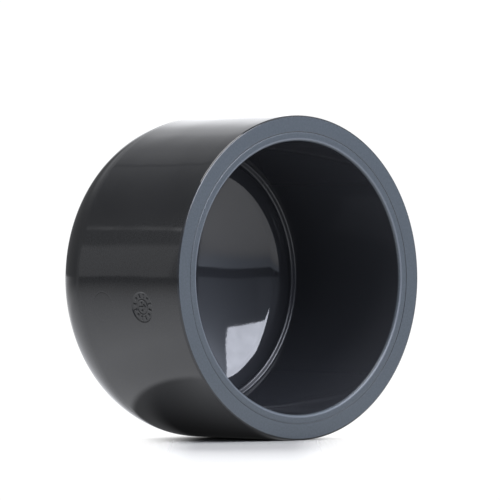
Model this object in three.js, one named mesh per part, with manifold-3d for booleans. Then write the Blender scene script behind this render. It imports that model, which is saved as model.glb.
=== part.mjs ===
// End cap for a 90 mm pressure pipe: one moulding with a solvent-weld socket and a domed closed end.
//
// Millimetres, +Z up. The cap lies on its side. Its axis is Y: the socket's mouth is in the plane
// y = 0 and faces -Y, and the dome is at +Y. The origin is the centre of the mouth.

import * as THREE from 'three';
import { mergeVertices } from 'three/addons/utils/BufferGeometryUtils.js';
import Module from 'manifold-3d';

const DEG = Math.PI / 180;

// Driving dimensions of the outside
const MOUTH_OUTER_RADIUS = 54;
const OUTER_DRAFT = 0.25 * DEG;
const STRAIGHT_LENGTH = 49;
const KNUCKLE_RADIUS = 22.4;
const CROWN_RADIUS = 108;
const RIM_EDGE_RADIUS = 0.7;

// Driving dimensions of the socket and of the closed end behind it
const SOCKET_DEPTH = 51;
const BORE_MOUTH_RADIUS = 45.35;
const BORE_ROOT_RADIUS = 44.45;
const LEAD_IN_RADIUS = 1.2;
const STOP_LIP_RADIUS = 42.5;
const STOP_LIP_ROUNDING = 0.7;
const INNER_KNUCKLE_RADIUS = 6.2;
const DISH_RADIUS = 96;

// The ring that the mould leaves on the mouth's face
const RING_RADIUS = 48.3;
const RING_WIDTH = 0.6;
const RING_DEPTH = 0.1;

// The gate mark: a shallow round recess in the middle of the crown
const GATE_RECESS_RADIUS = 5;
const GATE_RECESS_DEPTH = 0.5;

// Two round inserts of the mould mark the wall, one behind the other. The dial prints a flat disc
// with raised marks. The blank one leaves only the fine groove of its outline.
const INSERT_RADIUS = 5;
const INSERT_BELOW_HORIZONTAL = 10.3 * DEG;
const DIAL_AXIAL = 18.9;
const DIAL_SINK = 0.38;
const BLANK_AXIAL = 38.5;
const BLANK_GROOVE_WIDTH = 0.4;
const BLANK_GROOVE_DEPTH = 0.05;
const POINTER_DISC_RADIUS = 2.4;
const MARK_HEIGHT = 0.15;
const MARK_COUNT = 12;
const MARK_RADIUS = 3.7;
const MARK_LENGTH = 1.1;
const MARK_WIDTH = 0.45;
const POINTER_LENGTH = 3.4;
const POINTER_WIDTH = 0.6;

// How far the marks reach into the wall, and the recesses' cutters out of it, for clean unions
const MARK_ROOT = 0.3;
const CUTTER_REACH = 3;

// Facets around the axis. Half a facet of turn puts a flat, not an edge, under the cap.
const FACETS = 72;
const DISC_FACETS = 24;

// Points (radius, axial) along a round stretch. Angles run from straight outward towards the dome.
function arc(centreRadius, centreAxial, radius, fromAngle, toAngle, steps) {
  const points = [];
  for (let i = 0; i <= steps; i += 1) {
    const angle = fromAngle + (toAngle - fromAngle) * (i / steps);
    points.push(new THREE.Vector2(
      centreRadius + radius * Math.cos(angle),
      centreAxial + radius * Math.sin(angle),
    ));
  }
  return points;
}

function outerRadiusAt(axial) {
  return MOUTH_OUTER_RADIUS - Math.tan(OUTER_DRAFT) * axial;
}

// The mouth's face, outwards from the bore: lead-in, flat, moulded ring, flat, outer edge.
function mouthProfile() {
  const leadInCentre = BORE_MOUTH_RADIUS + LEAD_IN_RADIUS;
  const edgeCentre = MOUTH_OUTER_RADIUS - RIM_EDGE_RADIUS;
  return [
    ...arc(leadInCentre, LEAD_IN_RADIUS, LEAD_IN_RADIUS, -Math.PI, -Math.PI / 2, 4),
    new THREE.Vector2(RING_RADIUS - RING_WIDTH / 2, 0),
    new THREE.Vector2(RING_RADIUS, RING_DEPTH),
    new THREE.Vector2(RING_RADIUS + RING_WIDTH / 2, 0),
    ...arc(edgeCentre, RIM_EDGE_RADIUS, RIM_EDGE_RADIUS, -Math.PI / 2, OUTER_DRAFT, 3),
  ];
}

// The outside, from the mouth to the axis: drafted wall, knuckle, crown, gate recess.
function outerProfile() {
  const knuckleCentreRadius = outerRadiusAt(STRAIGHT_LENGTH) - KNUCKLE_RADIUS * Math.cos(OUTER_DRAFT);
  const knuckleCentreAxial = STRAIGHT_LENGTH - KNUCKLE_RADIUS * Math.sin(OUTER_DRAFT);
  const centreGap = CROWN_RADIUS - KNUCKLE_RADIUS;
  const joinAngle = Math.acos(knuckleCentreRadius / centreGap);
  const crownCentreAxial = knuckleCentreAxial - centreGap * Math.sin(joinAngle);
  const gateAngle = Math.acos(GATE_RECESS_RADIUS / CROWN_RADIUS);
  const knuckle = arc(
    knuckleCentreRadius, knuckleCentreAxial, KNUCKLE_RADIUS, OUTER_DRAFT, joinAngle, 12,
  );
  const crown = arc(0, crownCentreAxial, CROWN_RADIUS, joinAngle, gateAngle, 6);
  const gateFloor = crownCentreAxial + CROWN_RADIUS * Math.sin(gateAngle) - GATE_RECESS_DEPTH;
  return [
    ...knuckle,
    ...crown.slice(1),
    new THREE.Vector2(GATE_RECESS_RADIUS - GATE_RECESS_DEPTH, gateFloor),
    new THREE.Vector2(0, gateFloor),
  ];
}

// The inside, from the axis to the mouth: dished end wall, inner knuckle, rounded lip, flat pipe
// stop, tapered bore.
function innerProfile() {
  const lipCentreRadius = STOP_LIP_RADIUS + STOP_LIP_ROUNDING;
  const lipCentreAxial = SOCKET_DEPTH + STOP_LIP_ROUNDING;
  const knuckleCentreRadius = STOP_LIP_RADIUS - INNER_KNUCKLE_RADIUS;
  const knuckleCentreAxial = lipCentreAxial;
  const joinAngle = Math.acos(knuckleCentreRadius / (DISH_RADIUS - INNER_KNUCKLE_RADIUS));
  const dishCentreAxial = knuckleCentreAxial
    - (DISH_RADIUS - INNER_KNUCKLE_RADIUS) * Math.sin(joinAngle);
  return [
    ...arc(0, dishCentreAxial, DISH_RADIUS, Math.PI / 2, joinAngle, 6),
    ...arc(knuckleCentreRadius, knuckleCentreAxial, INNER_KNUCKLE_RADIUS, joinAngle, 0, 6).slice(1),
    ...arc(lipCentreRadius, lipCentreAxial, STOP_LIP_ROUNDING, Math.PI, 1.5 * Math.PI, 3).slice(1),
    new THREE.Vector2(BORE_ROOT_RADIUS, SOCKET_DEPTH),
  ];
}

// Solid of revolution of the cap, before the insert marks are printed in it.
function revolvedBody() {
  const profile = [...innerProfile(), ...mouthProfile(), ...outerProfile()];
  profile[0].x = 0;
  return new THREE.LatheGeometry(profile, FACETS, Math.PI / FACETS);
}

// A flat disc whose top is at z = top and whose bottom is at z = bottom.
function disc(radius, bottom, top) {
  const shape = new THREE.CylinderGeometry(radius, radius, top - bottom, DISC_FACETS);
  shape.rotateX(Math.PI / 2);
  shape.translate(0, 0, (top + bottom) / 2);
  return shape;
}

// A raised bar centred at (x, y) and turned about z.
function bar(length, width, bottom, top, x, y, turn) {
  const shape = new THREE.BoxGeometry(length, width, top - bottom);
  shape.rotateZ(turn);
  shape.translate(x, y, (top + bottom) / 2);
  return shape;
}

// Takes a shape from an insert's own frame (z out of the wall, x towards the mouth) to the wall.
function placeOnWall(geometry, axial, sink) {
  const floorRadius = outerRadiusAt(axial) - sink;
  const outward = new THREE.Vector3(
    -Math.cos(INSERT_BELOW_HORIZONTAL), 0, -Math.sin(INSERT_BELOW_HORIZONTAL),
  );
  const towardsMouth = new THREE.Vector3(0, -1, 0);
  const across = new THREE.Vector3().crossVectors(outward, towardsMouth);
  const place = new THREE.Matrix4().makeBasis(towardsMouth, across, outward);
  place.setPosition(outward.clone().multiplyScalar(floorRadius).setY(axial));
  return geometry.applyMatrix4(place);
}

const wasm = await Module();
wasm.setup();

function toSolid(geometry) {
  const bare = geometry.clone();
  bare.deleteAttribute('normal');
  bare.deleteAttribute('uv');
  const merged = mergeVertices(bare, 1e-4);
  return new wasm.Manifold(new wasm.Mesh({
    numProp: 3,
    vertProperties: new Float32Array(merged.attributes.position.array),
    triVerts: new Uint32Array(merged.index.array),
  }));
}

function toGeometry(solid) {
  const mesh = solid.getMesh();
  const geometry = new THREE.BufferGeometry();
  geometry.setAttribute('position', new THREE.BufferAttribute(mesh.vertProperties, 3));
  geometry.setIndex(new THREE.BufferAttribute(mesh.triVerts, 1));
  geometry.computeVertexNormals();
  return geometry;
}

// Cutter for the dial's recess, reaching from its floor to well outside the wall.
function dialRecess() {
  return placeOnWall(disc(INSERT_RADIUS, 0, CUTTER_REACH), DIAL_AXIAL, DIAL_SINK);
}

// Cutter for the blank insert's outline: an upright tube, kept only where it is in the wall's
// outer skin, so that the groove has the same depth all around.
function blankGroove() {
  const around = new THREE.LatheGeometry([
    new THREE.Vector2(INSERT_RADIUS - BLANK_GROOVE_WIDTH, -CUTTER_REACH),
    new THREE.Vector2(INSERT_RADIUS, -CUTTER_REACH),
    new THREE.Vector2(INSERT_RADIUS, CUTTER_REACH),
    new THREE.Vector2(INSERT_RADIUS - BLANK_GROOVE_WIDTH, CUTTER_REACH),
    new THREE.Vector2(INSERT_RADIUS - BLANK_GROOVE_WIDTH, -CUTTER_REACH),
  ], DISC_FACETS);
  around.rotateX(Math.PI / 2);
  const start = BLANK_AXIAL - INSERT_RADIUS - CUTTER_REACH;
  const end = BLANK_AXIAL + INSERT_RADIUS + CUTTER_REACH;
  const skin = new THREE.LatheGeometry([
    new THREE.Vector2(outerRadiusAt(start) - BLANK_GROOVE_DEPTH, start),
    new THREE.Vector2(outerRadiusAt(start) + CUTTER_REACH, start),
    new THREE.Vector2(outerRadiusAt(end) + CUTTER_REACH, end),
    new THREE.Vector2(outerRadiusAt(end) - BLANK_GROOVE_DEPTH, end),
    new THREE.Vector2(outerRadiusAt(start) - BLANK_GROOVE_DEPTH, start),
  ], FACETS, Math.PI / FACETS);
  return toSolid(placeOnWall(around, BLANK_AXIAL, 0)).intersect(toSolid(skin));
}

// Raised marks of the dial insert: a pointer on a middle disc, and plain bars around it.
function dialMarks() {
  const shapes = [bar(POINTER_LENGTH, POINTER_WIDTH, -MARK_ROOT, 2 * MARK_HEIGHT, 0, 0, 0)];
  for (let i = 0; i < MARK_COUNT; i += 1) {
    const turn = (i + 0.5) * (2 * Math.PI / MARK_COUNT);
    const x = MARK_RADIUS * Math.cos(turn);
    const y = MARK_RADIUS * Math.sin(turn);
    shapes.push(bar(MARK_LENGTH, MARK_WIDTH, -MARK_ROOT, MARK_HEIGHT, x, y, turn));
  }
  shapes.push(disc(POINTER_DISC_RADIUS, -MARK_ROOT, MARK_HEIGHT));
  return shapes.map((shape) => placeOnWall(shape, DIAL_AXIAL, DIAL_SINK));
}

function capBody() {
  let solid = toSolid(revolvedBody());
  solid = solid.subtract(toSolid(dialRecess()));
  solid = solid.subtract(blankGroove());
  for (const mark of dialMarks()) {
    solid = solid.add(toSolid(mark));
  }
  const material = new THREE.MeshStandardMaterial({ color: 0x2b2e33, roughness: 0.22, metalness: 0 });
  const mesh = new THREE.Mesh(toGeometry(solid), material);
  mesh.name = 'cap_body';
  return mesh;
}

const cap = new THREE.Group();
cap.add(capBody());

export default cap;
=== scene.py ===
"""Looks for the pipe end cap: one fine moulded body on a pale floor in a soft studio.

Metres, +Z up. The cap lies on its side, its axis is Y, its mouth is at y = 0 and faces -Y.
"""

import math

import bpy
import numpy as np
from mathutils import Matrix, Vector


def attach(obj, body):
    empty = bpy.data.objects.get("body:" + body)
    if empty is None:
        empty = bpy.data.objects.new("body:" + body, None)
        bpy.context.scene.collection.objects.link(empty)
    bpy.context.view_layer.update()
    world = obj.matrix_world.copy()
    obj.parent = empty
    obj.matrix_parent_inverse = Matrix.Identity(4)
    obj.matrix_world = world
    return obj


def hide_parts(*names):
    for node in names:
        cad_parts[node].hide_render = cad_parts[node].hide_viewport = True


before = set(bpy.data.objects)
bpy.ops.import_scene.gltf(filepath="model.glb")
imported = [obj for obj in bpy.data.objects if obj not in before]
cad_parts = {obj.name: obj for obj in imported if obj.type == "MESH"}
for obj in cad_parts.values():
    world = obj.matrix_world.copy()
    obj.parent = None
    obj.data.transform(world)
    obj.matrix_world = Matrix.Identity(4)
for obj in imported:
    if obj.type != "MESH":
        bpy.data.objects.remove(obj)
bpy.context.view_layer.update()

MM = 0.001
DEG = math.pi / 180

# ---------------------------------------------------------------- sizes of the cap, in millimetres

MOUTH_OUTER_RADIUS = 54.0
OUTER_DRAFT = 0.25 * DEG
STRAIGHT_LENGTH = 49.0
KNUCKLE_RADIUS = 22.4
CROWN_RADIUS = 108.0
RIM_EDGE_RADIUS = 0.7
# next to the mouth the wall draws in by this much over this length
BROW_LENGTH = 6.0
BROW_DROP = 0.06

SOCKET_DEPTH = 51.0
BORE_MOUTH_RADIUS = 45.35
BORE_ROOT_RADIUS = 44.45
LEAD_IN_RADIUS = 1.2
ROOT_FILLET = 0.6
STOP_LIP_RADIUS = 42.5
STOP_LIP_FILLET = 0.7
INNER_KNUCKLE_RADIUS = 6.2
DISH_RADIUS = 96.0

RING_RADIUS = 48.3
RING_WIDTH = 0.6
RING_DEPTH = 0.1
RING_FILLET = 0.35

GATE_RECESS_RADIUS = 5.0
GATE_RECESS_DEPTH = 0.5
GATE_FILLET = 0.35
GATE_NUB_RADIUS = 1.6
GATE_NUB_HEIGHT = 0.35

# rows of the profile closer than this are one row
SAME_PLACE = 1e-4

INSERT_RADIUS = 5.0
DIAL_AXIAL = 18.9
DIAL_SINK = 0.38
BLANK_AXIAL = 38.5
BLANK_LINE_DEPTH = 0.02
BLANK_LINE_HALF = 0.25
INSERT_ANGLE = (180 + 10.3) * DEG
INSERT_EDGE = 0.12
# the fine grid over each insert reaches this far past its rim, and its rows are this far apart
INSERT_MARGIN = 0.4
INSERT_STEP = 0.15
# the inserts are looked for only this far around the axis, in radians, from their own angle
INSERT_SIDE = 0.5
MARK_HEIGHT = 0.3
MARK_COUNT = 12
MARK_RADIUS = 3.75
MARK_FOOT_RADIUS = 3.2
MARK_EDGE = 0.08
# inner and outer radius of the ring between the dial's middle and its marks
DIAL_RING = (2.325, 2.625)
DIAL_RING_EDGE = 0.075
DIAL_RING_SHARE = 0.7


# ---------------------------------------------------------------- outline of the cap

def arc(centre, radius, start, end, steps):
    """Rows (radius, axial, radial normal, axial normal) of a round stretch about a centre.

    With a negative radius the stretch is hollow: its normals point to the centre.
    """
    sign = 1 if radius > 0 else -1
    rows = []
    for angle in np.linspace(start, end, steps + 1):
        c, s = math.cos(angle), math.sin(angle)
        rows.append((centre[0] + abs(radius) * c, centre[1] + abs(radius) * s, sign * c, sign * s))
    return rows


def rounded(points, radii, step=12 * DEG):
    """Rows of a line through corner points, with each corner between its ends rounded."""
    rows = []
    points = [np.array(p, float) for p in points]
    for before, corner, after, radius in zip(points, points[1:], points[2:], radii):
        a = (corner - before) / np.linalg.norm(corner - before)
        b = (after - corner) / np.linalg.norm(after - corner)
        turn = math.atan2(a[0] * b[1] - a[1] * b[0], float(a @ b))
        reach = radius * math.tan(abs(turn) / 2)
        side = math.copysign(1, turn)
        centre = corner - a * reach + side * radius * np.array((-a[1], a[0]))
        steps = max(2, math.ceil(abs(turn) / step))
        for k in range(steps + 1):
            t = turn * k / steps
            c, s = math.cos(t), math.sin(t)
            along = np.array((a[0] * c - a[1] * s, a[0] * s + a[1] * c))
            right = np.array((along[1], -along[0]))
            rows.append((*(centre + side * radius * right), *right))
    return rows


def outer_radius_at(axial):
    """The drafted wall, which draws in a hair's breadth next to the mouth."""
    into_brow = max(BROW_LENGTH - axial, 0) / BROW_LENGTH
    return MOUTH_OUTER_RADIUS - math.tan(OUTER_DRAFT) * axial - BROW_DROP * into_brow**2


def outer_tilt_at(axial):
    """Angle of the wall's normal from straight outwards, towards the dome."""
    into_brow = max(BROW_LENGTH - axial, 0) / BROW_LENGTH
    return OUTER_DRAFT - math.atan(2 * BROW_DROP / BROW_LENGTH * into_brow)


def inside_outline():
    """From the axis at the dished end wall to the start of the mouth's lead-in."""
    lip = (STOP_LIP_RADIUS, SOCKET_DEPTH)
    knuckle = (STOP_LIP_RADIUS - INNER_KNUCKLE_RADIUS, SOCKET_DEPTH + STOP_LIP_FILLET)
    gap = DISH_RADIUS - INNER_KNUCKLE_RADIUS
    join = math.acos(knuckle[0] / gap)
    dish = (0.0, knuckle[1] - gap * math.sin(join))
    rows = arc(dish, -DISH_RADIUS, math.pi / 2, join, 30)
    rows += arc(knuckle, -INNER_KNUCKLE_RADIUS, join, 0, 12)[1:]
    rows += rounded(
        [
            (STOP_LIP_RADIUS, knuckle[1] + 1),
            lip,
            (BORE_ROOT_RADIUS, SOCKET_DEPTH),
            (BORE_MOUTH_RADIUS, LEAD_IN_RADIUS),
        ],
        [STOP_LIP_FILLET, ROOT_FILLET],
    )[1:]
    return rows


def mouth_outline():
    """Lead-in, the mouth's face with its fine ring, and the outer edge."""
    lead_in = (BORE_MOUTH_RADIUS + LEAD_IN_RADIUS, LEAD_IN_RADIUS)
    edge = (outer_radius_at(RIM_EDGE_RADIUS) - RIM_EDGE_RADIUS, RIM_EDGE_RADIUS)
    rows = arc(lead_in, LEAD_IN_RADIUS, -math.pi, -math.pi / 2, 10)
    rows += rounded(
        [
            (lead_in[0], 0),
            (RING_RADIUS - RING_WIDTH / 2, 0),
            (RING_RADIUS, RING_DEPTH),
            (RING_RADIUS + RING_WIDTH / 2, 0),
            (edge[0], 0),
        ],
        [RING_FILLET] * 3,
    )
    rows += arc(edge, RIM_EDGE_RADIUS, -math.pi / 2, outer_tilt_at(RIM_EDGE_RADIUS), 14)
    return rows


def wall_rows(start, end):
    """Axial places of the rows along the drafted wall: fine over the inserts, coarse elsewhere."""
    reach = INSERT_RADIUS + INSERT_MARGIN
    coarse = 3.0
    stretches = [
        (start, BROW_LENGTH, 0.5),
        (BROW_LENGTH, DIAL_AXIAL - reach, coarse),
        (DIAL_AXIAL - reach, DIAL_AXIAL + reach, INSERT_STEP),
        (DIAL_AXIAL + reach, BLANK_AXIAL - reach, coarse),
        (BLANK_AXIAL - reach, BLANK_AXIAL + reach, INSERT_STEP),
        (BLANK_AXIAL + reach, end, coarse),
    ]
    places = []
    for low, high, step in stretches:
        count = math.ceil((high - low) / step)
        places += list(np.linspace(low, high, count + 1)[1:])
    return places[:-1]


def outside_outline():
    """Drafted wall, knuckle, crown and the gate recess, to the axis."""
    c, s = math.cos(OUTER_DRAFT), math.sin(OUTER_DRAFT)
    rows = []
    for y in wall_rows(RIM_EDGE_RADIUS, STRAIGHT_LENGTH):
        tilt = outer_tilt_at(y)
        rows.append((outer_radius_at(y), y, math.cos(tilt), math.sin(tilt)))
    knuckle = (
        outer_radius_at(STRAIGHT_LENGTH) - KNUCKLE_RADIUS * c,
        STRAIGHT_LENGTH - KNUCKLE_RADIUS * s,
    )
    gap = CROWN_RADIUS - KNUCKLE_RADIUS
    join = math.acos(knuckle[0] / gap)
    crown = (0.0, knuckle[1] - gap * math.sin(join))
    gate = math.acos((GATE_RECESS_RADIUS + 1) / CROWN_RADIUS)
    rows += arc(knuckle, KNUCKLE_RADIUS, OUTER_DRAFT, join, 30)
    rows += arc(crown, CROWN_RADIUS, join, gate, 16)[1:]
    top = crown[1] + CROWN_RADIUS * math.sin(math.acos(GATE_RECESS_RADIUS / CROWN_RADIUS))
    floor = top - GATE_RECESS_DEPTH
    rows += rounded(
        [
            rows[-1][:2],
            (GATE_RECESS_RADIUS, top),
            (GATE_RECESS_RADIUS - GATE_RECESS_DEPTH, floor),
            (GATE_NUB_RADIUS + GATE_NUB_HEIGHT, floor),
            (GATE_NUB_RADIUS, floor + GATE_NUB_HEIGHT),
            (0, floor + GATE_NUB_HEIGHT),
        ],
        [GATE_FILLET, GATE_FILLET, GATE_NUB_HEIGHT / 2, GATE_NUB_HEIGHT / 3],
    )
    rows.append((0, floor + GATE_NUB_HEIGHT, 0, 1))
    return rows


def column_angles():
    """Angles of the columns around the axis: fine across the inserts, coarse elsewhere."""
    half = (INSERT_RADIUS + INSERT_MARGIN) / MOUTH_OUTER_RADIUS
    fine = np.linspace(INSERT_ANGLE - half, INSERT_ANGLE + half, 76)
    coarse = np.linspace(INSERT_ANGLE + half, INSERT_ANGLE - half + 2 * math.pi, 190)
    return np.concatenate([fine, coarse[1:-1]])


# ---------------------------------------------------------------- marks that the mould prints

def smooth(value, low, high):
    """0 below low, 1 above high, and a smooth rise between them."""
    t = np.clip((value - low) / (high - low), 0, 1)
    return t * t * (3 - 2 * t)


def bar_mask(x, y, centre, size, turn):
    """1 on a bar of that length and width, falling to 0 over MARK_EDGE around it."""
    c, s = math.cos(turn), math.sin(turn)
    u = (x - centre[0]) * c + (y - centre[1]) * s
    v = -(x - centre[0]) * s + (y - centre[1]) * c
    dx = np.abs(u) - size[0] / 2
    dy = np.abs(v) - size[1] / 2
    outside = np.hypot(np.maximum(dx, 0), np.maximum(dy, 0)) + np.minimum(np.maximum(dx, dy), 0)
    return 1 - smooth(outside, -MARK_EDGE, MARK_EDGE)


def dot_mask(x, y, centre, radius):
    """1 on a round dot, falling to 0 over MARK_EDGE around it."""
    return 1 - smooth(np.hypot(x - centre[0], y - centre[1]) - radius, -MARK_EDGE, MARK_EDGE)


def dial_height(x, y):
    """Height of the dial's plain marks over its floor. x points to the mouth, y across."""
    distance = np.hypot(x, y)
    inner, outer = DIAL_RING
    rise = smooth(distance, inner - DIAL_RING_EDGE, inner + DIAL_RING_EDGE)
    fall = 1 - smooth(distance, outer - DIAL_RING_EDGE, outer + DIAL_RING_EDGE)
    height = DIAL_RING_SHARE * rise * fall
    for i in range(MARK_COUNT):
        turn = (i + 0.5) * 2 * math.pi / MARK_COUNT
        c, s = math.cos(turn), math.sin(turn)
        at = (MARK_RADIUS * c, MARK_RADIUS * s)
        if i % 3 == 1:
            height = np.maximum(height, dot_mask(x, y, at, 0.52))
        else:
            foot = (MARK_FOOT_RADIUS * c, MARK_FOOT_RADIUS * s)
            height = np.maximum(height, bar_mask(x, y, at, (1.35, 0.46), turn))
            height = np.maximum(height, bar_mask(x, y, foot, (0.3, 0.75), turn))

    # the pointer in the middle: a shaft, the two sides of its head, and a dot on each side
    height = np.maximum(height, bar_mask(x, y, (-0.1, 0), (3.2, 0.6), 0))
    for side in (1, -1):
        height = np.maximum(height, bar_mask(x, y, (1.0, side * 0.42), (1.3, 0.5), -side * 0.75))
        height = np.maximum(height, dot_mask(x, y, (-0.35, side * 1.25), 0.4))
    return height * MARK_HEIGHT


def print_inserts(radius, axial, angle):
    """Radius of the wall with the dial pressed into it, and the outline of the blank insert."""
    across = np.arctan2(np.sin(angle - INSERT_ANGLE), np.cos(angle - INSERT_ANGLE))
    near = np.abs(across) < INSERT_SIDE
    across = np.clip(across, -INSERT_SIDE, INSERT_SIDE)

    dial_floor = outer_radius_at(DIAL_AXIAL) - DIAL_SINK
    x = DIAL_AXIAL - axial
    y = dial_floor * np.tan(across)
    rim = smooth(np.hypot(x, y), INSERT_RADIUS - INSERT_EDGE, INSERT_RADIUS + INSERT_EDGE)
    inside = (1 - rim) * near
    level = dial_floor / np.cos(across) + dial_height(x, -y)
    result = radius * (1 - inside) + level * inside

    distance = np.hypot(BLANK_AXIAL - axial, MOUTH_OUTER_RADIUS * across)
    rise = smooth(distance, INSERT_RADIUS - BLANK_LINE_HALF, INSERT_RADIUS)
    fall = 1 - smooth(distance, INSERT_RADIUS, INSERT_RADIUS + BLANK_LINE_HALF)
    return result - BLANK_LINE_DEPTH * rise * fall * near


# ---------------------------------------------------------------- the fine body

def cap_outline():
    """All rows of the turned profile, from the end wall round the mouth to the dome, without doubles."""
    rows = np.array(inside_outline() + mouth_outline() + outside_outline())
    kept = [rows[0]]
    for row in rows[1:]:
        if np.hypot(*(row[:2] - kept[-1][:2])) > SAME_PLACE:
            kept.append(row)
    return np.array(kept)


def turned_surface():
    """Grid of points in metres and of unit normals: one row per profile row, one column per angle."""
    outline = cap_outline()
    angles = column_angles()
    radius, axial, n_radial, n_axial = (
        np.repeat(outline[:, i : i + 1], len(angles), axis=1) for i in range(4)
    )
    angle = np.repeat(angles[None, :], len(outline), axis=0)
    n_around = np.zeros_like(radius)

    # only the rows of the outer wall take the insert marks
    on_wall = (outline[:, 2] > 0.99) & (outline[:, 0] > MOUTH_OUTER_RADIUS - 1)
    wall_indices = np.nonzero(on_wall)[0]
    wall = slice(wall_indices[0], wall_indices[-1] + 1)
    printed = print_inserts(radius[wall], axial[wall], angle[wall])
    n_axial[wall] -= np.gradient(printed - radius[wall], outline[wall, 1], axis=0)
    n_around[wall] = -np.gradient(printed, angles, axis=1) / printed
    radius[wall] = printed

    cos, sin = np.cos(angle), np.sin(angle)
    points = np.stack([radius * cos, axial, radius * sin], -1) * MM
    n_x = n_radial * cos - n_around * sin
    n_z = n_radial * sin + n_around * cos
    normals = np.stack([n_x, n_axial, n_z], -1)
    normals /= np.linalg.norm(normals, axis=-1, keepdims=True)
    return points, normals


def turned_faces(rings, columns):
    """Quads between neighbouring rings, and a fan at each pole. The poles follow the rings."""
    inner_pole = rings * columns
    outer_pole = inner_pole + 1
    last_ring = (rings - 1) * columns
    faces = []
    for low in range(0, last_ring, columns):
        high = low + columns
        for j in range(columns):
            k = (j + 1) % columns
            faces.append((low + j, high + j, high + k, low + k))
    for j in range(columns):
        k = (j + 1) % columns
        faces.append((inner_pole, j, k))
        faces.append((outer_pole, last_ring + k, last_ring + j))
    return faces


def mouth_face_zone(places, normals):
    """1 on the mouth's flat face, fading out on the lead-in and on the outer edge."""
    radius = np.hypot(places[:, 0], places[:, 2])
    facing = -normals[:, 1]
    towards_lead_in = smooth(facing, 0.1, 0.6)
    towards_edge = smooth(facing, 0.965, 0.996)
    zone = np.where(radius < RING_RADIUS * MM, towards_lead_in, towards_edge)
    return zone * (places[:, 1] < LEAD_IN_RADIUS * MM)


def build_body():
    """The whole cap as one closed mesh, with its exact normals and its mouth_face attribute."""
    points, normals = turned_surface()
    rings, columns = len(points) - 2, points.shape[1]
    grid = points[1:-1].reshape(-1, 3)
    grid_normals = normals[1:-1].reshape(-1, 3)
    vertices = np.vstack([grid, points[0, 0], points[-1, 0]])
    vertex_normals = np.vstack([grid_normals, normals[0, 0], normals[-1, 0]])

    mesh = bpy.data.meshes.new("cap_moulding")
    mesh.from_pydata(vertices.tolist(), [], turned_faces(rings, columns))
    mesh.update()
    mesh.shade_smooth()
    mesh.normals_split_custom_set_from_vertices(vertex_normals.tolist())

    zone = np.zeros(len(vertices), np.float32)
    zone[: len(grid)] = mouth_face_zone(grid, grid_normals)
    mesh.attributes.new("mouth_face", "FLOAT", "POINT").data.foreach_set("value", zone)

    body = bpy.data.objects.new("cap_moulding", mesh)
    bpy.context.scene.collection.objects.link(body)
    return body


# ---------------------------------------------------------------- small node helpers

class Nodes:
    """Adds nodes to a tree and links them by short calls. An input named i2 is the one at index 2."""

    def __init__(self, tree):
        self.tree = tree
        tree.nodes.clear()

    def add(self, kind, settings=None, **inputs):
        node = self.tree.nodes.new(kind)
        for name, value in (settings or {}).items():
            setattr(node, name, value)
        for name, value in inputs.items():
            self.set(node, name, value)
        return node

    def set(self, node, name, value):
        by_index = name[0] == "i" and name[1:].isdigit()
        socket = node.inputs[int(name[1:]) if by_index else name]
        if isinstance(value, bpy.types.NodeSocket):
            self.tree.links.new(value, socket)
        else:
            socket.default_value = value

    def math(self, operation, a, b=0.0, c=0.0):
        node = self.add("ShaderNodeMath", {"operation": operation}, i0=a, i1=b, i2=c)
        return node.outputs[0]

    def dot(self, a, b):
        node = self.add("ShaderNodeVectorMath", {"operation": "DOT_PRODUCT"}, i0=a, i1=tuple(b))
        return node.outputs["Value"]

    def length(self, vector):
        return self.add("ShaderNodeVectorMath", {"operation": "LENGTH"}, i0=vector).outputs["Value"]

    def times(self, a, b):
        return self.math("MULTIPLY", a, b)

    def plus(self, a, b):
        return self.math("ADD", a, b)

    def rest(self, share):
        """1 minus a share."""
        return self.math("SUBTRACT", 1.0, share)

    def blend(self, a, b, share):
        """a where the share is 0, b where it is 1."""
        return self.plus(self.times(a, self.rest(share)), self.times(b, share))

    def band(self, value, low_start, low_end, high_start, high_end):
        """1 between low_end and high_start, 0 outside low_start and high_end."""
        rise = self.ramp(value, low_start, low_end)
        fall = self.ramp(value, high_start, high_end)
        return self.math("SUBTRACT", rise, fall)

    def ramp(self, value, low, high, to_low=0.0, to_high=1.0):
        node = self.add(
            "ShaderNodeMapRange",
            {"interpolation_type": "SMOOTHSTEP"},
            i0=value, i1=low, i2=high, i3=to_low, i4=to_high,
        )
        return node.outputs[0]

    def noise(self, vector, scale, detail=2.0, roughness=0.5):
        node = self.add("ShaderNodeTexNoise", None, Vector=vector, Scale=scale, Detail=detail)
        node.inputs["Roughness"].default_value = roughness
        return node.outputs["Fac"]

    def mix_colour(self, factor, a, b):
        node = self.add("ShaderNodeMix", {"data_type": "RGBA"}, i0=factor, i6=a, i7=b)
        return node.outputs[2]


# ---------------------------------------------------------------- moulded PVC

PVC_DARK = (0.0180, 0.0186, 0.0200, 1)
PVC_LIGHT = (0.0235, 0.0243, 0.0260, 1)
# the same pigment made paler and bluer inside the socket, as painted light
INSIDE_PAINTED_LIGHT = (0.0330, 0.0345, 0.0395, 1)
FACE_DARK = (0.0440, 0.0530, 0.0610, 1)
FACE_LIGHT = (0.0595, 0.0705, 0.0815, 1)
# pale colour of a painted highlight on the lead-in
LEAD_IN_HIGHLIGHT = (0.15, 0.165, 0.19, 1)
PVC_IOR = 1.53

# heights of the relief, in metres: the moulding's slow waves, orange peel, turned rings on the face
WAVE_HEIGHT = 0.00025
PEEL_HEIGHT = 0.000003
FACE_RING_HEIGHT = 0.000009
# the end wall's inner face lies nearer to the mouth than this, in millimetres
INSIDE_END = 67.0


def inside_zone(n, radius, depth):
    """1 on the socket and the end wall. It also takes in a 2 mm ring of the outer knuckle."""
    within = n.ramp(radius, BORE_MOUTH_RADIUS + 0.25, BORE_MOUTH_RADIUS + 0.85, 1.0, 0.0)
    return n.times(within, n.ramp(depth, INSIDE_END, INSIDE_END + 1, 1.0, 0.0))


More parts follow.
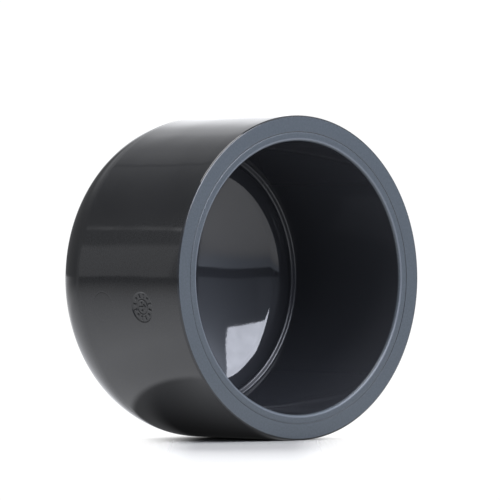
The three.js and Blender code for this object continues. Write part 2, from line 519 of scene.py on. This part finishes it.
def shoulder_zone(n, radius, depth):
    """1 on the pipe stop's narrow shoulder."""
    beyond_lip = n.ramp(radius, STOP_LIP_RADIUS, STOP_LIP_RADIUS + 0.3)
    at_stop = n.band(
        depth, SOCKET_DEPTH - 1.0, SOCKET_DEPTH - 0.5, SOCKET_DEPTH + 0.5, SOCKET_DEPTH + 0.8
    )
    return n.times(beyond_lip, at_stop)


def lead_in_highlight_band(n, radius, depth):
    """1 on the part of the lead-in next to the mouth's face, where the painted highlight goes."""
    start = BORE_MOUTH_RADIUS
    at_lead_in = n.band(radius, start + 0.35, start + 0.65, start + 0.85, start + 1.25)
    return n.times(at_lead_in, n.ramp(depth, 0.6, 1.0, 1.0, 0.0))


def pvc_colour(n, place, radius, depth, face):
    """Clouded, speckled pigment, paler on the mouth's face. Paler and bluer inside as painted light, and
    a painted highlight on the lead-in next to the face.
    """
    cloud = n.noise(place, 35.0, 3.0)
    speckle = n.noise(place, 1400.0, 3.0, 0.7)
    mottle = n.plus(n.times(cloud, 0.4), n.times(speckle, 0.6))
    colour = n.mix_colour(n.ramp(mottle, 0.38, 0.62), PVC_DARK, PVC_LIGHT)
    # painted light: the socket and the end wall are paler and bluer
    colour = n.mix_colour(inside_zone(n, radius, depth), colour, INSIDE_PAINTED_LIGHT)
    face_colour = n.mix_colour(n.ramp(speckle, 0.35, 0.65), FACE_DARK, FACE_LIGHT)
    colour = n.mix_colour(face, colour, face_colour)
    # painted highlight: a pale band on the lead-in next to the mouth's face
    painted_highlight = n.times(lead_in_highlight_band(n, radius, depth), 0.5)
    return n.mix_colour(painted_highlight, colour, LEAD_IN_HIGHLIGHT)


def pvc_roughness(n, place, radius, depth, face, turning):
    """Polished wall with a faint haze, glossier end wall, satin shoulder and satin mouth's face."""
    haze = n.noise(place, 60.0, 4.0, 0.6)
    body = n.ramp(haze, 0.3, 0.75, 0.048, 0.078)
    within_lip = n.ramp(radius, STOP_LIP_RADIUS - 0.5, STOP_LIP_RADIUS + 0.1, 1.0, 0.0)
    end_wall = n.times(within_lip, inside_zone(n, radius, depth))
    body = n.times(body, n.rest(n.times(end_wall, 0.25)))
    body = n.plus(body, n.times(shoulder_zone(n, radius, depth), 0.20))
    return n.blend(body, n.ramp(turning, 0.3, 0.7, 0.34, 0.44), face)


def pvc_relief(n, place, face, turning):
    """Normal of the slow waves, the orange peel and the fine rings on the mouth's face."""
    layers = [
        (n.noise(place, 40.0, 1.0), WAVE_HEIGHT),
        (n.noise(place, 900.0, 2.0), PEEL_HEIGHT),
        (n.times(turning, face), FACE_RING_HEIGHT),
    ]
    normal = None
    for height, distance in layers:
        bump = n.add("ShaderNodeBump", None, Strength=1.0, Distance=distance, Height=height)
        if normal is not None:
            n.set(bump, "Normal", normal)
        normal = bump.outputs[0]
    return normal


def moulded_pvc():
    """Dark grey rigid PVC as it comes out of the mould."""
    material = bpy.data.materials.new("moulded_pvc")
    material.use_nodes = True
    n = Nodes(material.node_tree)
    place = n.add("ShaderNodeTexCoord").outputs["Object"]
    face = n.add("ShaderNodeAttribute", {"attribute_name": "mouth_face"}).outputs["Fac"]

    # distance from the cap's axis and depth from its mouth, both in millimetres
    x, y, z = n.add("ShaderNodeSeparateXYZ", None, Vector=place).outputs
    radius = n.math("SQRT", n.plus(n.times(x, x), n.times(z, z)))
    radius = n.math("DIVIDE", radius, MM)
    depth = n.math("DIVIDE", y, MM)

    rings_at = n.add("ShaderNodeCombineXYZ", None, X=radius, Y=0.0, Z=0.0).outputs[0]
    turning = n.noise(rings_at, 5.2, 2.0, 0.6)

    shader = n.add(
        "ShaderNodeBsdfPrincipled", None,
        Roughness=pvc_roughness(n, place, radius, depth, face, turning),
        Normal=pvc_relief(n, place, face, turning),
    )
    shader.inputs["IOR"].default_value = PVC_IOR
    n.set(shader, "Base Color", pvc_colour(n, place, radius, depth, face))
    n.add("ShaderNodeOutputMaterial", None, Surface=shader.outputs[0])
    return material


# ---------------------------------------------------------------- camera

CAMERA_AZIMUTH = -41.86 * DEG
CAMERA_DISTANCE = 1.9495
CAMERA_HEIGHT = -0.001
LENS = 423.14
AIM_RIGHT = -0.016646
AIM_UP = 0.009237


def horizontal(azimuth):
    """Unit vector towards that azimuth, with 0 towards -Y and 90 degrees towards +X."""
    return Vector((math.sin(azimuth), -math.cos(azimuth), 0))


def direction(azimuth, elevation):
    return horizontal(azimuth) * math.cos(elevation) + Vector((0, 0, math.sin(elevation)))


def add_camera():
    """The camera looks level at the cap from the left of its mouth through a long lens."""
    data = bpy.data.cameras.new("camera")
    data.sensor_width = 36
    data.lens = LENS
    data.clip_start = 0.05
    camera = bpy.data.objects.new("camera", data)
    bpy.context.scene.collection.objects.link(camera)
    back = horizontal(CAMERA_AZIMUTH)
    right = Vector((0, 0, 1)).cross(back)
    aim = right * AIM_RIGHT + Vector((0, 0, AIM_UP))
    camera.location = aim + back * CAMERA_DISTANCE + Vector((0, 0, CAMERA_HEIGHT))
    camera.rotation_euler = (aim - camera.location).to_track_quat("-Z", "Y").to_euler()
    bpy.context.scene.camera = camera
    return camera


# ---------------------------------------------------------------- table

FLOOR_Z = -MOUTH_OUTER_RADIUS * MM
FLOOR_HALF = 0.6
PAPER = (0.195, 0.195, 0.195, 1)
GLOSS_TINT = (0.975, 0.99, 1.035, 1)

# the painted shadow on the table under the cap, as the glossy plastic sees it
UNDER_HALF_WIDTH = 0.0475
UNDER_STRAIGHT = 0.025
UNDER_REACH = 0.041
UNDER_POWER = 2.3

# the shadow the eye sees: its middle on the table, and how it ends beside and far from the cap
SHADOW_MIDDLE = 0.0275
SHADOW_BESIDE = (0.014, 0.038)
SHADOW_FAR = (0.20, 0.33)
SHADOW_NARROWING = 0.3
TABLE_END = (0.28, 0.50)


def painted_open_table_light(n, x, y, distance, backness):
    """Painted light of the open table: brightest in front on the right, fading away towards the back."""
    fade = n.math("EXPONENT", n.math("DIVIDE", distance, -0.40))
    at_back = n.plus(n.times(fade, 1.40), 0.15)
    nearby = n.ramp(distance, 0.12, 0.40, 1.3, 0.95)
    to_right = n.ramp(x, -0.03, 0.14, 0.85, 1.1)
    return n.blend(n.times(nearby, to_right), at_back, backness)


def painted_table_glow(n, place):
    """What the glossy plastic sees of the table, which glows with painted light: open and lit, or a
    painted shadow under the round body.
    """
    x, y, _ = n.add("ShaderNodeSeparateXYZ", None, Vector=place).outputs
    side = n.math("ABSOLUTE", x)
    backness = n.ramp(y, -0.05, 0.10)
    lit = painted_open_table_light(n, x, y, n.length(place), backness)

    # edge is 1 along the painted shadow's outline: straight along the wall, rounded off under the dome
    beyond = n.math("MAXIMUM", n.math("SUBTRACT", y, UNDER_STRAIGHT), 0.0)
    across = n.math("POWER", n.math("DIVIDE", side, UNDER_HALF_WIDTH), UNDER_POWER)
    along = n.math("POWER", n.math("DIVIDE", beyond, UNDER_REACH), UNDER_POWER)
    edge = n.math("POWER", n.plus(across, along), 1 / UNDER_POWER)
    near = n.ramp(edge, 0.9, 2.0, 0.64, 1.0)
    lit = n.times(lit, n.blend(1.0, near, backness))
    under = n.times(n.ramp(edge, 0.98, 1.08, 1.0, 0.0), n.ramp(y, -0.02, 0.01))

    # painted light that still reaches into the painted shadow: from the side, the front and below the
    # dome
    deep = n.math("POWER", n.math("DIVIDE", side, 0.038), 3.3)
    from_side = n.times(deep, n.ramp(y, 0.010, 0.045, 0.40, 0.15))
    dim = n.plus(from_side, n.ramp(y, 0.046, 0.058, 0.012, 0.15))
    return n.blend(lit, dim, under)


def shadow_end(n, place):
    """1 where the shadow has faded out beside the cap or far from it, seen from the camera's side."""
    right = horizontal(CAMERA_AZIMUTH + 90 * DEG)
    away = -horizontal(CAMERA_AZIMUTH)
    from_middle = n.add(
        "ShaderNodeVectorMath", {"operation": "SUBTRACT"},
        i0=place, i1=(0, SHADOW_MIDDLE, 0),
    ).outputs["Vector"]
    sideways = n.math("ABSOLUTE", n.dot(from_middle, right))
    backwards = n.math("MAXIMUM", n.dot(from_middle, away), 0.0)
    aside = n.plus(sideways, n.times(backwards, SHADOW_NARROWING))
    return n.math("MAXIMUM", n.ramp(aside, *SHADOW_BESIDE), n.ramp(n.length(place), *SHADOW_FAR))


def floor_material():
    """White matt table, which the eye sees fade into the white backdrop around the cap's shadow. Every
    other ray sees it glow with painted light and a painted shadow.
    """
    material = bpy.data.materials.new("white_table")
    material.use_nodes = True
    n = Nodes(material.node_tree)
    eye = n.add("ShaderNodeLightPath").outputs["Is Camera Ray"]
    place = n.add("ShaderNodeTexCoord").outputs["Object"]

    # painted light and painted shadow: the table glows for every ray but the eye's
    strength = painted_table_glow(n, place)
    in_gloss = n.add("ShaderNodeEmission", None, Color=GLOSS_TINT, Strength=strength)
    paper = n.add("ShaderNodeBsdfDiffuse", None, Color=PAPER)
    table = n.add("ShaderNodeMixShader", None, i0=eye, i1=in_gloss.outputs[0], i2=paper.outputs[0])

    to_eye = n.times(shadow_end(n, place), eye)
    gone = n.math("MAXIMUM", n.ramp(n.length(place), *TABLE_END), to_eye)
    clear = n.add("ShaderNodeBsdfTransparent")
    mixed = n.add("ShaderNodeMixShader", None, i0=gone, i1=table.outputs[0], i2=clear.outputs[0])
    n.add("ShaderNodeOutputMaterial", None, Surface=mixed.outputs[0])
    return material


def add_floor():
    """The square of table that the cap lies on."""
    half = FLOOR_HALF
    mesh = bpy.data.meshes.new("floor")
    corners = [(-half, -half, 0), (half, -half, 0), (half, half, 0), (-half, half, 0)]
    mesh.from_pydata(corners, [], [(0, 1, 2, 3)])
    mesh.materials.append(floor_material())
    floor = bpy.data.objects.new("floor", mesh)
    floor.location = (0, 0, FLOOR_Z)
    bpy.context.scene.collection.objects.link(floor)
    return floor


# ---------------------------------------------------------------- room

BACKDROP_STRENGTH = 2.35
BACKDROP_WIDTH = 37.4
BACKDROP_TOP = 1.6
BACKDROP_TINT = (0.98, 0.99, 1.02, 1)
FRONT_TINT = (0.86, 0.955, 1.13, 1)
WHITE_TO_EYE = 1.05

# azimuth and elevation, strength and width of the room's glows, angles in degrees:
# side light from the left, and the haze around the key light and to its right
ROOM_GLOWS = [
    (-110, 15, 0.45, 23),
    (33, 30, 1.9, 13),
    (33, 16, 0.46, 28),
    (80, 45, 1.0, 25),
]


def glow(n, view, centre, strength, width):
    """A soft round glow about one direction of the world: strength * exp(-(angle / width) ^ 2)."""
    cosine = n.math("MINIMUM", n.dot(view, centre), 0.99999)
    scaled = n.math("DIVIDE", n.math("ARCCOSINE", cosine), width)
    fall = n.math("EXPONENT", n.times(n.times(scaled, scaled), -1.0))
    return n.times(fall, strength)


def whole_backdrop(n, view, x):
    """The lit backdrop behind the cap, with a fold that dims one strip of it."""
    centre = direction(180 * DEG + CAMERA_AZIMUTH, 0)
    light = glow(n, view, centre, BACKDROP_STRENGTH, BACKDROP_WIDTH * DEG)
    fold = n.times(n.band(x, 0.10, 0.20, 0.33, 0.41), 0.17)
    return n.math("SMOOTH_MIN", n.times(light, n.rest(fold)), BACKDROP_TOP, 0.2)


def cut_backdrop(n, light, x, z, bearing):
    """Its low part ends a little to the left of the line of sight, and a seam runs over the cap."""
    low = n.ramp(z, 0.35, 0.56, 1.0, 0.0)
    ended = n.times(n.ramp(bearing, -38 * DEG, -24 * DEG), low)
    light = n.blend(light, 0.10, ended)
    seam = n.times(n.band(x, -0.030, -0.012, 0.000, 0.016), n.ramp(z, 0.55, 0.62))
    return n.times(light, n.rest(n.times(seam, 0.4)))


def left_walls(n, x, z, bearing):
    """A pale wall low down at the back on the left, with a shelf's line above it."""
    left = n.ramp(x, -0.58, -0.48, 1.0, 0.0)
    behind = n.ramp(bearing, 41.2 * DEG, 43.0 * DEG, 1.0, 0.0)
    low_wall = n.band(z, -0.004, 0.016, 0.235, 0.285)
    shelf = n.band(z, 0.365, 0.380, 0.388, 0.405)
    walls = n.plus(n.times(low_wall, 0.25), n.times(shelf, 0.75))
    return n.times(walls, n.times(left, behind))


def far_table(n, x, z, backdrop, frontness):
    """The table beyond the floor's square: bright in front, dimmer far away at the back."""
    front = n.times(n.ramp(z, -0.066, -0.060, 1.0, 0.06), n.ramp(x, -0.10, 0.60, 0.62, 1.15))
    fade = n.math("EXPONENT", n.math("DIVIDE", 0.135, n.math("MINIMUM", z, -0.001)))
    back = n.plus(n.times(fade, 1.32), 0.15)
    back = n.plus(back, n.times(backdrop, 0.35))
    return n.blend(back, front, frontness)


def add_world():
    """White to the eye. What the plastic reflects is a dim room with a bright backdrop."""
    world = bpy.data.worlds.new("studio")
    bpy.context.scene.world = world
    world.use_nodes = True
    n = Nodes(world.node_tree)
    view = n.add("ShaderNodeTexCoord").outputs["Generated"]
    x, y, z = n.add("ShaderNodeSeparateXYZ", None, Vector=view).outputs
    bearing = n.math("ARCTAN2", n.times(x, -1.0), y)
    frontness = n.ramp(y, -0.3, 0.1, 1.0, 0.0)

    backdrop = whole_backdrop(n, view, x)
    room = n.plus(cut_backdrop(n, backdrop, x, z, bearing), left_walls(n, x, z, bearing))
    for azimuth, elevation, strength, width in ROOM_GLOWS:
        centre = direction(azimuth * DEG, elevation * DEG)
        room = n.plus(room, glow(n, view, centre, strength, width * DEG))
    room = n.plus(room, n.ramp(y, -0.2, 0.2, 0.13, 0.05))

    below = n.ramp(z, -0.004, 0.004, 1.0, 0.0)
    light = n.blend(room, far_table(n, x, z, backdrop, frontness), below)

    eye = n.add("ShaderNodeLightPath").outputs["Is Camera Ray"]
    tint = n.mix_colour(frontness, BACKDROP_TINT, FRONT_TINT)
    studio = n.add("ShaderNodeBackground", None, Color=tint, Strength=light)
    white = n.add("ShaderNodeBackground", None, Color=(1, 1, 1, 1), Strength=WHITE_TO_EYE)
    mixed = n.add("ShaderNodeMixShader", None, i0=eye, i1=studio.outputs[0], i2=white.outputs[0])
    n.add("ShaderNodeOutputWorld", None, Surface=mixed.outputs[0])
    return world


# ---------------------------------------------------------------- lights

KEY_RADIANCE = 11.2
KEY_TINT = (0.89, 0.93, 1.06)
TOP_RADIANCE = 7.0
TOP_HALF = 0.36
TOP_HEIGHT = 1.0
TOP_SHIFT = -0.25

# the light behind the cap, as the middle of the table sees it
BEHIND_DISTANCE = 1.6
BEHIND_WIDTH = 0.68
BEHIND_LOW = 22 * DEG
BEHIND_HIGH = 58 * DEG
BEHIND_RADIANCE = 78.0
OVERHEAD_SIZE = (0.5, 1.3)
OVERHEAD_HEIGHT = 1.25
OVERHEAD_RADIANCE = 11.4


def add_panel(name, corners, radiance, colour):
    """A four-cornered panel of softly folded glowing cloth, which the camera doesn't see."""
    mesh = bpy.data.meshes.new(name)
    mesh.from_pydata([tuple(c) for c in corners], [], [(0, 1, 2, 3)])
    material = bpy.data.materials.new(name)
    material.use_nodes = True
    n = Nodes(material.node_tree)
    place = n.add("ShaderNodeTexCoord").outputs["Object"]
    folds = n.noise(place, 7.0, 4.0, 0.7)
    strength = n.ramp(folds, 0.3, 0.7, 0.87 * radiance, 1.09 * radiance)
    emission = n.add("ShaderNodeEmission", None, Color=(*colour, 1), Strength=strength)
    n.add("ShaderNodeOutputMaterial", None, Surface=emission.outputs[0])
    mesh.materials.append(material)
    panel = bpy.data.objects.new(name, mesh)
    bpy.context.scene.collection.objects.link(panel)
    panel.visible_camera = False
    panel.visible_shadow = False
    return panel


def add_lights():
    """A softbox in front, seen as the pale shape in the dished end wall, and one overhead."""
    middle = Vector((0, 0.03, 0))
    key = [
        middle + direction(17 * DEG, 17.2 * DEG) * 1.0,
        middle + direction(-12 * DEG, 14.2 * DEG) * 1.25,
        middle + direction(-16 * DEG, 44 * DEG) * 1.35,
        middle + direction(38 * DEG, 46 * DEG) * 1.25,
    ]
    add_panel("key_softbox", key, KEY_RADIANCE, KEY_TINT)
    top = [
        Vector((TOP_SHIFT + x * TOP_HALF, y * TOP_HALF, TOP_HEIGHT))
        for x, y in ((-1, -1), (1, -1), (1, 1), (-1, 1))
    ]
    add_panel("top_softbox", top, TOP_RADIANCE, (1.0, 1.0, 1.0))


def add_table_light(name, place, target, size, radiance, receivers):
    """An area light that reaches only the floor, and draws the cap's soft shadow there."""
    data = bpy.data.lights.new(name, "AREA")
    data.shape = "RECTANGLE"
    data.size = size[0]
    data.size_y = size[1]
    data.energy = radiance * math.pi * size[0] * size[1]
    light = bpy.data.objects.new(name, data)
    bpy.context.scene.collection.objects.link(light)
    light.location = place
    light.rotation_euler = (target - place).to_track_quat("-Z", "Y").to_euler()
    light.visible_camera = False
    light.light_linking.receiver_collection = receivers
    return light


def add_table_lights(floor):
    """A tall narrow light behind the cap and a long one overhead, for the floor alone."""
    receivers = bpy.data.collections.new("lit_by_table_lights")
    receivers.objects.link(floor)
    away = -horizontal(CAMERA_AZIMUTH)
    base = Vector((0, 0, FLOOR_Z))
    bottom = BEHIND_DISTANCE * math.tan(BEHIND_LOW)
    top = BEHIND_DISTANCE * math.tan(BEHIND_HIGH)
    middle = base + Vector((0, 0, (bottom + top) / 2))
    add_table_light(
        "light_behind", middle + away * BEHIND_DISTANCE, middle,
        (BEHIND_WIDTH, top - bottom), BEHIND_RADIANCE, receivers,
    )
    # it looks straight down, tipped by a hair so that its long side points away from the camera
    overhead = base + away * -0.4 + Vector((0, 0, OVERHEAD_HEIGHT))
    add_table_light(
        "light_overhead", overhead, overhead - Vector((0, 0, 1)) + away * 0.001,
        OVERHEAD_SIZE, OVERHEAD_RADIANCE, receivers,
    )


def main():
    """The cap with its one material, and the studio around it."""
    scene = bpy.context.scene
    scene.view_settings.view_transform = "Standard"
    scene.view_settings.look = "None"
    body = build_body()
    body.data.materials.append(moulded_pvc())
    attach(body, "root")
    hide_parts("cap_body")
    floor = add_floor()
    add_world()
    add_lights()
    add_table_lights(floor)
    add_camera()


main()
